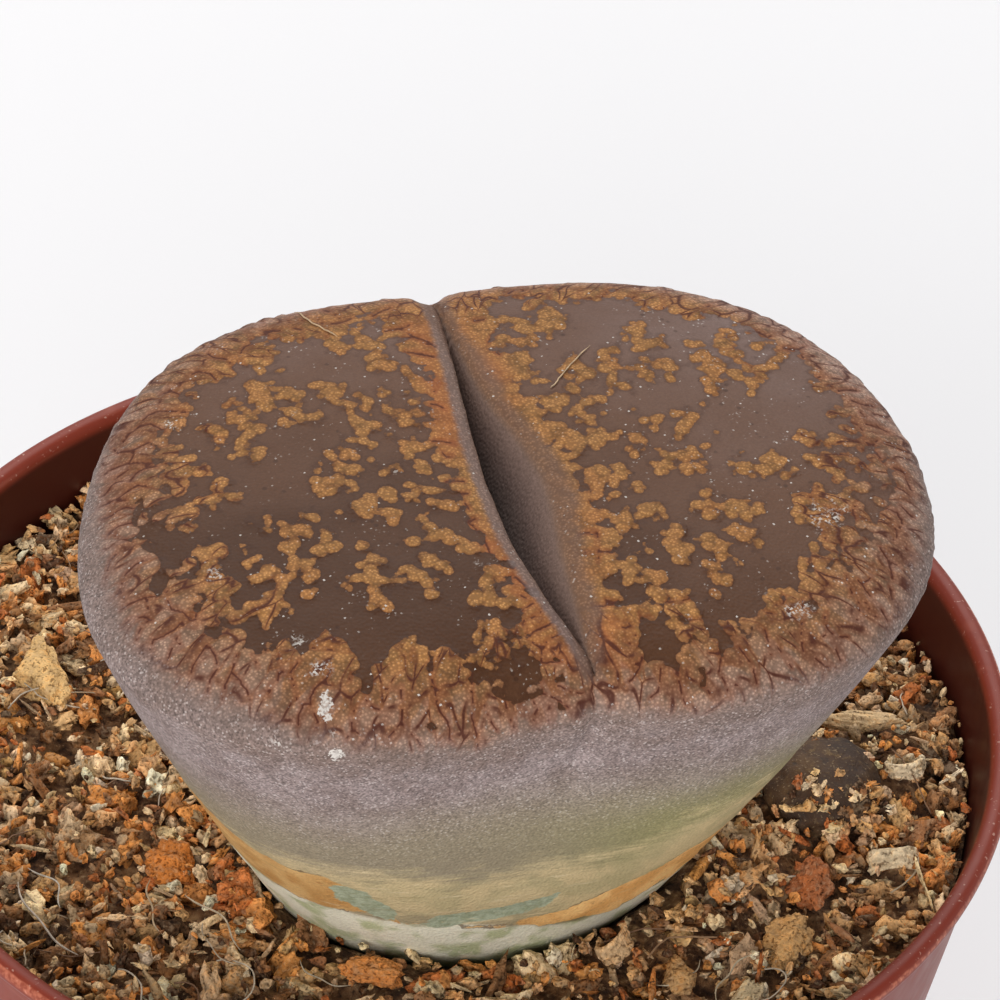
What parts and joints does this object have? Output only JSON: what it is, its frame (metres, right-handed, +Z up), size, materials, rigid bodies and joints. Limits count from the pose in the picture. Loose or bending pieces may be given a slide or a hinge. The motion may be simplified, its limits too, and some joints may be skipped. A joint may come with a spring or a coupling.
{
  "type": "potted lithops",
  "caption": "Living stone succulent: a fissured, flat-topped leaf pair growing in bark mix in a small round nursery pot.",
  "frame": {"origin": "centre of the pot's resting face, on the surface that it stands on", "axes": "+Z up, along the pot's axis from its foot to the plant's crown; -Y faces the viewer; the fissure runs from rear left to front right"},
  "size_m": [0.055, 0.055, 0.0682],
  "materials": {
    "pot_plastic": "thin moulded plastic, satin, terracotta red-brown",
    "potting_mix": "crumbly bark and wood fragments, dry, rough",
    "leaf_skin": "waxy succulent skin: translucent dark windows, ochre islands, lilac-grey flanks",
    "stone": "dark brown rough stone",
    "bark": "split bark and wood chips, matt and fibrous"
  },
  "bodies": {
    "root": {"pot": "pot_plastic", "potting_mix": "potting_mix", "lithops_plant": "leaf_skin", "dark_stone": "stone", "wood_sliver_right": "bark", "bark_curl_right": "bark", "cream_flake_right": "bark", "rust_bark_lump_right": "bark", "tan_bark_chip_right": "bark", "wood_shard_front": "bark", "tan_bark_block_front": "bark", "bark_curl_front": "bark", "orange_bark_chip_front": "bark", "orange_bark_flake_left": "bark", "cream_bark_chip_left": "bark", "orange_bark_chip_rear_left": "bark"}
  },
  "joints": []
}
